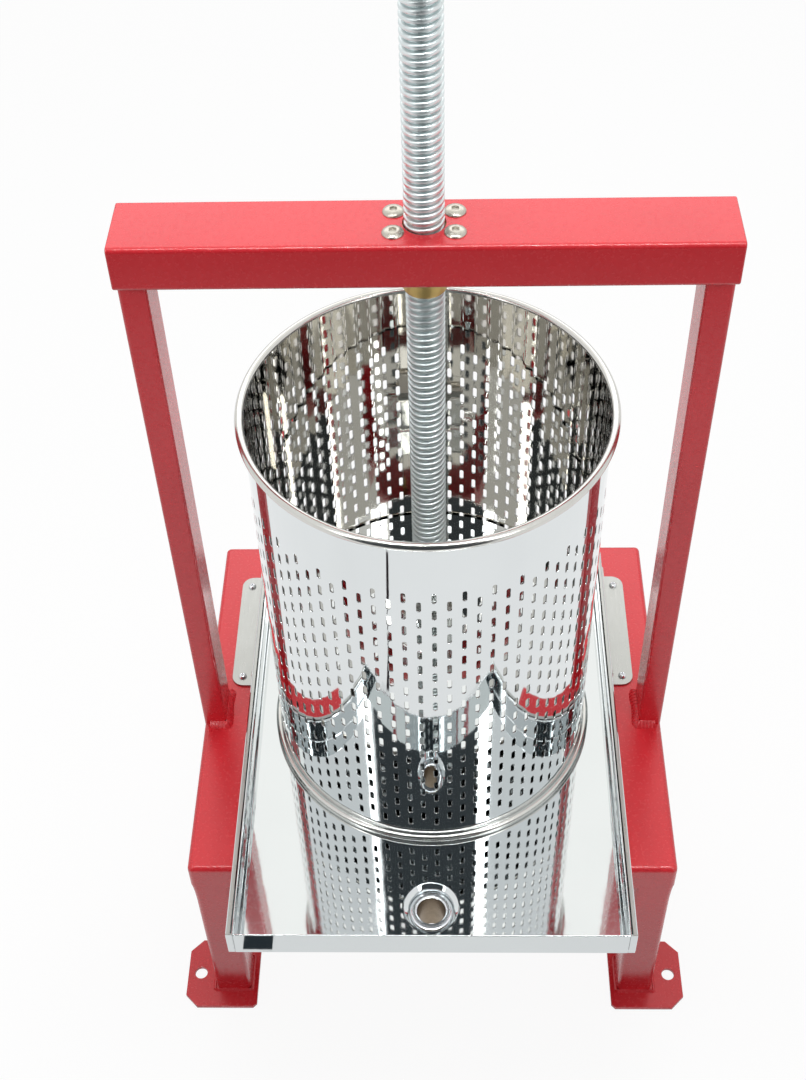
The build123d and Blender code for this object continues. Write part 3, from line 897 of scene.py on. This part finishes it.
low, high = mm_box("press_plate")
plate_r = high.x + PLATE_FIT
plate_top = low.z + PLATE_T
cup_floor = plate_top + CUP_FLOOR
bm = bmesh.new()
turned(bm, [(AXIS_R, low.z), (plate_r - PLATE_ROUND, low.z),
            (plate_r - PLATE_EASE, low.z + PLATE_EASE), (plate_r, low.z + PLATE_ROUND),
            (plate_r, plate_top - PLATE_ROUND), (plate_r - PLATE_EASE, plate_top - PLATE_EASE),
            (plate_r - PLATE_ROUND, plate_top), (CUP_R + 3.0, plate_top),
            (CUP_R + 1.1, plate_top + 0.9), (CUP_R, plate_top + 2.8), (CUP_R, high.z - CUP_EDGE),
            (CUP_R - CUP_EDGE, high.z), (CUP_BORE_R + CUP_BORE_EDGE, high.z),
            (CUP_BORE_R, high.z - CUP_BORE_EDGE), (CUP_BORE_R, cup_floor), (AXIS_R, cup_floor)],
       count=160)
fit("press_disc", bm, mirror_stainless, "press", "polished_sheet", "press_plate")


# Keepers: two notched bars of satin steel on the cup. They run in the groove of the screw, lift the
# plate with it, and are each held by two small pan-head screws.
KEEPER_SCREW_AT = (14.4, 7.6)
KEEPER_SCREW_R = 2.6
KEEPER_SCREW_H = 1.9
KEEPER_SCREW_RECESS = 1.0
for side, s in SIDES.items():
    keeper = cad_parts[f"keeper_{side}"]
    keeper.data.materials.clear()
    keeper.data.materials.append(satin_stainless)
    seat = mm_box(f"keeper_{side}")[1].z
    for i, b in enumerate((-1, 1)):
        bm = bmesh.new()
        place = SCREW_AXIS + Vector((s * KEEPER_SCREW_AT[0], b * KEEPER_SCREW_AT[1], seat))
        screw_head(bm, place, KEEPER_SCREW_R, KEEPER_SCREW_H, cross, KEEPER_SCREW_RECESS)
        fit(f"keeper_screw_{side}_{i + 1}", bm, tumbled_stainless, "press", "satin_steel")


# Press screw: a rolled 20 mm trapezoidal spindle with a 4 mm lead, zinc plated. Its foot is turned
# down with a groove for the keepers, and a round head with a cross hole is welded on its top.
SCREW_CREST_R = 10.0
SCREW_ROOT_R = 8.0
SCREW_LEAD = 4.0
SCREW_OUTLINE = ((0.0, 0.0), (0.05, 0.46), (0.1, 0.76), (0.17, 0.94), (0.26, 1.0), (0.5, 1.0),
                 (0.59, 0.94), (0.66, 0.76), (0.71, 0.46), (0.76, 0.0))
SCREW_STEPS = 48
SCREW_FOOT_R = 10.0
SCREW_FOOT_EDGE = 1.4
GROOVE_R = 8.0
GROOVE_PLAY = 0.4
COLLAR_R = 9.6
COLLAR_L = 4.5
CORE_R = 7.9
HEAD_R = 18.0
HEAD_H = 50.0
HEAD_LOW_EDGE, HEAD_TOP_EDGE = 1.5, 2.0
HEAD_CENTRE_R, HEAD_CENTRE_DROP = 6.0, 1.5

# Bright zinc plate: cool silver with a faint blue-green cast, clouded in soft patches.
bright_zinc = make_finish("bright zinc plate", "#E8F0F0", "#DAE3E4", 7, (0.38, 0.48), 0.9, 0.008,
                          (1, 1, 0.25), Metallic=1.0)

low, high = mm_box("press_screw")
keeper_low, keeper_high = (corner.z for corner in mm_box("keeper_left"))
groove_low, groove_high = keeper_low - GROOVE_PLAY, keeper_high + GROOVE_PLAY
neck = keeper_high + COLLAR_L
core_top = neck + SCREW_LEAD * 1.2
bm = bmesh.new()
turned(bm, [(AXIS_R, low.z), (SCREW_FOOT_R - SCREW_FOOT_EDGE, low.z),
            (SCREW_FOOT_R, low.z + SCREW_FOOT_EDGE), (SCREW_FOOT_R, groove_low),
            (GROOVE_R, groove_low), (GROOVE_R, groove_high), (COLLAR_R, groove_high),
            (COLLAR_R, neck - 0.6), (CORE_R, neck + 0.8), (CORE_R, core_top), (AXIS_R, core_top)],
       count=64)
head_low = high.z - HEAD_H
thread(bm, SCREW_AXIS, SCREW_CREST_R, SCREW_ROOT_R, SCREW_LEAD, neck, head_low + 2 * SCREW_LEAD,
       SCREW_OUTLINE, SCREW_STEPS)
centre = high.z - HEAD_CENTRE_DROP
turned(bm, [(AXIS_R, head_low), (HEAD_R - HEAD_LOW_EDGE, head_low),
            (HEAD_R, head_low + HEAD_LOW_EDGE), (HEAD_R, high.z - HEAD_TOP_EDGE),
            (HEAD_R - HEAD_TOP_EDGE, high.z), (HEAD_CENTRE_R, high.z),
            (HEAD_CENTRE_R - HEAD_CENTRE_DROP, centre), (AXIS_R, centre)])
fit("press_spindle", bm, bright_zinc, "screw", "zinc_steel", "press_screw")


# Handle bar: a 14 mm round steel bar through the head's cross hole, zinc plated. Its ends are
# turned to a low dome.
BAR_DOME = 0.35
low, high = mm_box("handle_bar")
bar_axis = (low + high) / 2
bar_r = (high.z - low.z) / 2
reach = (high.x - low.x) / 2
dome = [(bar_r * math.cos(t), reach - bar_r * BAR_DOME * (1 - math.sin(t)))
        for t in (math.radians(15 * i) for i in range(6))]
profile = [(AXIS_R, -reach)] + [(r, -x) for r, x in reversed(dome)] + dome + [(AXIS_R, reach)]
bm = bmesh.new()
turned(bm, profile, bar_axis, count=48, along=0)
fit("handle_rod", bm, bright_zinc, "screw", "zinc_steel", "handle_bar")


# Handle grips: two moulded black rubber sleeves pushed on the bar's ends, ribbed for the hand. The
# outer end of each is closed.
GRIP_RIBS = 11
FIRST_RIB = 8.5
RIB_MARGIN = 20.0
RIB_GROOVE = ((2.6, 0.0), (1.5, 1.3), (-1.5, 1.3), (-2.6, 0.0))
GRIP_LIP = 5.0
GRIP_END = 3.9

# Moulded rubber: matt black, with a faint bloom on it and a fine grain from the mould.
moulded_rubber = make_finish("moulded black rubber", "#2B2B2B", "#1C1C1C", 6, (0.55, 0.75), 0.7,
                             0.02, IOR=1.52)

for side, s in SIDES.items():
    low, high = mm_box(f"handle_grip_{side}")
    axis = (low + high) / 2
    grip_r = (high.z - low.z) / 2
    half = (high.x - low.x) / 2
    bore_r = bar_r + HAIR
    profile = [(bore_r, -s * half), (grip_r - 0.6, -s * half), (grip_r, -s * (half - 0.8)),
               (grip_r, -s * (half - GRIP_LIP))]
    for i in range(GRIP_RIBS):
        middle = -s * (half - FIRST_RIB - i * (2 * half - RIB_MARGIN) / (GRIP_RIBS - 1))
        profile += [(grip_r - drop, middle - s * shift) for shift, drop in RIB_GROOVE]
    profile += [(grip_r, s * (half - 3.0)), (grip_r - 0.9, s * (half - 0.9)),
                (grip_r - 3.0, s * half), (AXIS_R, s * half), (AXIS_R, s * (half - GRIP_END)),
                (bore_r, s * (half - GRIP_END))]
    bm = bmesh.new()
    turned(bm, profile, axis, count=64, along=0)
    fit(f"rubber_grip_{side}", bm, moulded_rubber, "screw", "black_rubber", f"handle_grip_{side}")


# Studio: a white floor that runs out of sight, a soft lamp overhead, a small fill on either side of
# the camera and a wide lamp behind the press. Cards that only reflections show give the steel its
# contrast.
FLOOR_REACH = 30.0
AMBIENT = 0.44
FLOOR_WHITE = 0.92


def light_path_share(tree):
    """One for what the camera sees straight, in a mirror or through glass, and nought for light."""
    path = add_node(tree, "ShaderNodeLightPath")
    seen = add_node(tree, "ShaderNodeMath",
                    {0: path.outputs["Is Camera Ray"], 1: path.outputs["Is Glossy Ray"]},
                    operation="ADD", use_clamp=True)
    return add_node(tree, "ShaderNodeMath",
                    {0: seen.outputs[0], 1: path.outputs["Is Transmission Ray"]},
                    operation="ADD", use_clamp=True).outputs[0]


def stage_card(name, corners, material):
    """A flat sheet of the studio, given by its corners in metres."""
    mesh = bpy.data.meshes.new(name)
    mesh.from_pydata(corners, [], [range(len(corners))])
    mesh.materials.append(material)
    card = bpy.data.objects.new(name, mesh)
    bpy.context.scene.collection.objects.link(card)
    return card


def lying(x0, x1, y0, y1, z):
    """Corners of a level rectangle."""
    return [(x0, y0, z), (x1, y0, z), (x1, y1, z), (x0, y1, z)]


def standing(x0, x1, y, z0, z1):
    """Corners of an upright rectangle that faces the press."""
    return [(x0, y, z0), (x1, y, z0), (x1, y, z1), (x0, y, z1)]


# Matt white floor: plain white to the camera and in the steel, with a soft shadow on it. It throws
# only a weak grey light back up.
white_floor = bpy.data.materials.new("matt white studio floor")
white_floor.use_nodes = True
tree = white_floor.node_tree
tree.nodes.clear()
matt = add_node(tree, "ShaderNodeBsdfDiffuse", {"Color": linear("#8E8E8D")})
white = add_node(tree, "ShaderNodeBsdfDiffuse", {"Color": linear("#FFFFFF")})
glow = add_node(tree, "ShaderNodeEmission", {"Color": linear("#FFFFFF"), "Strength": 1.0})
shown = add_node(tree, "ShaderNodeMixShader",
                 {0: FLOOR_WHITE, 1: white.outputs[0], 2: glow.outputs[0]})
mixed = add_node(tree, "ShaderNodeMixShader",
                 {0: light_path_share(tree), 1: matt.outputs[0], 2: shown.outputs[0]})
add_node(tree, "ShaderNodeOutputMaterial", {"Surface": mixed.outputs[0]})
stage_card("studio_floor", lying(-FLOOR_REACH, FLOOR_REACH, -FLOOR_REACH, FLOOR_REACH, 0),
           white_floor)

# The tall cards stand behind the camera, the ceiling and the strip hang over the press, and the low
# ones lie on the floor before it, where the tray's front wall mirrors them. The pale grey one is
# painted shade on the floor there.
CARDS = [
    ("dark_card", "#42474A", 1.0, standing(-0.7, 0.53, -0.85, 0.02, 2.3)),
    ("dark_ground", "#4A4A4A", 1.0, lying(-0.5, 0.5, -0.84, -0.68, 0.001)),
    ("bright_card_left", "#FFFFFF", 7.0, standing(-0.95, -0.74, -0.86, 0.9, 2.6)),
    ("bright_card_right", "#FFFFFF", 7.0, standing(0.57, 0.82, -0.86, 0.9, 2.6)),
    ("bright_ceiling", "#FFFEFB", 1.18, lying(-2.0, 2.0, 0.9, 2.6, 3.1)),
    ("strip_light", "#FFFFFF", 48.0, lying(-0.45, 0.45, -0.45, -0.37, 1.9)),
    # A pale grey sheet: painted shade on the floor before the tray, seen only in its front wall.
    ("painted_floor_shade", "#EEEFEF", 1.0, lying(-0.16, 0.16, -0.315, -0.262, 0.0006)),
    ("dark_strip", "#2A2226", 1.0,
     [(-0.193, -0.46, 0.001), (-0.176, -0.466, 0.001), (-0.163, -0.413, 0.001),
      (-0.171, -0.394, 0.001), (-0.141, -0.314, 0.001), (-0.147, -0.312, 0.001),
      (-0.18, -0.405, 0.001)]),
    ("dark_patch", "#2B3338", 1.0, lying(-0.136, -0.115, -0.294, -0.277, 0.001)),
]
for name, colour, strength, corners in CARDS:
    paper = bpy.data.materials.new(name)
    paper.use_nodes = True
    tree = paper.node_tree
    tree.nodes.clear()
    glow = add_node(tree, "ShaderNodeEmission", {"Color": linear(colour), "Strength": strength})
    add_node(tree, "ShaderNodeOutputMaterial", {"Surface": glow.outputs[0]})
    card = stage_card(name, corners, paper)
    card.visible_camera = False
    card.visible_diffuse = False
    card.visible_shadow = False

world = bpy.data.worlds.new("white studio")
bpy.context.scene.world = world
world.use_nodes = True
tree = world.node_tree
tree.nodes.clear()
strength = add_node(tree, "ShaderNodeMapRange",
                    {"Value": light_path_share(tree), "To Min": AMBIENT,
                     "To Max": FLOOR_WHITE + (1 - FLOOR_WHITE) * AMBIENT})
sky = add_node(tree, "ShaderNodeBackground",
               {"Color": linear("#FFFFFF"), "Strength": strength.outputs[0]})
add_node(tree, "ShaderNodeOutputWorld", {"Surface": sky.outputs[0]})

# Each lamp has its place and what it points at in metres, its width and height, its power in watts
# and whether the steel mirrors it.
LAMPS = [
    ("overhead_softbox", (0.0, 0.14, 1.5), (0.0, -0.05, 0.2), 0.5, 0.5, 6.9, False),
    ("fill_left", (-0.78, -0.75, 1.15), (0.0, 0.0, 0.5), 0.4, 0.4, 2.6, False),
    ("fill_right", (0.78, -0.75, 1.15), (0.0, 0.0, 0.5), 0.4, 0.4, 2.6, False),
    ("back_softbox", (0.0, 1.95, 1.85), (0.0, 0.0, 0.45), 2.8, 0.8, 9.0, True),
]
for name, place, aim, width, height, power, mirrored in LAMPS:
    lamp = bpy.data.lights.new(name, "AREA")
    lamp.shape = "RECTANGLE"
    lamp.size, lamp.size_y = width, height
    lamp.energy = power
    stand = bpy.data.objects.new(name, lamp)
    bpy.context.scene.collection.objects.link(stand)
    stand.location = place
    stand.rotation_euler = (Vector(aim) - Vector(place)).to_track_quat("-Z", "Y").to_euler()
    stand.visible_camera = False
    stand.visible_glossy = mirrored

# The flag shades the feet from the fills. Nothing of it is seen but its shadow.
flag = stage_card("lamp_flag", lying(-0.36, 0.36, -0.3, -0.2, 0.2), white_floor)
for sight in ("camera", "diffuse", "glossy", "transmission"):
    setattr(flag, f"visible_{sight}", False)


# Camera: where the photograph was taken from, in front of the press and above it, looking down. Its
# place is in millimetres, and its focal length in pixels of a picture 1080 pixels high.
CAMERA_AT = Vector((9.0, -617.5, 993.0))
PITCH, YAW, ROLL = (math.radians(d) for d in (47.470, -2.314, -1.975))
FOCAL_PX = 1516.97
FRAME_PX = 1080
SENSOR = 24.0
ahead = Vector((math.sin(YAW) * math.cos(PITCH), math.cos(YAW) * math.cos(PITCH), -math.sin(PITCH)))
level = Vector((math.cos(YAW), -math.sin(YAW), 0))
upward = level.cross(ahead)
right = level * math.cos(ROLL) + upward * math.sin(ROLL)
above = -level * math.sin(ROLL) + upward * math.cos(ROLL)
view = bpy.data.cameras.new("camera")
view.sensor_fit = "VERTICAL"
view.sensor_height = SENSOR
view.lens = FOCAL_PX * SENSOR / FRAME_PX
camera = bpy.data.objects.new("camera", view)
bpy.context.scene.collection.objects.link(camera)
turn = Matrix((right, above, -ahead)).transposed().to_4x4()
camera.matrix_world = Matrix.Translation(CAMERA_AT * MM) @ turn
bpy.context.scene.camera = camera
bpy.context.scene.view_settings.view_transform = "Standard"
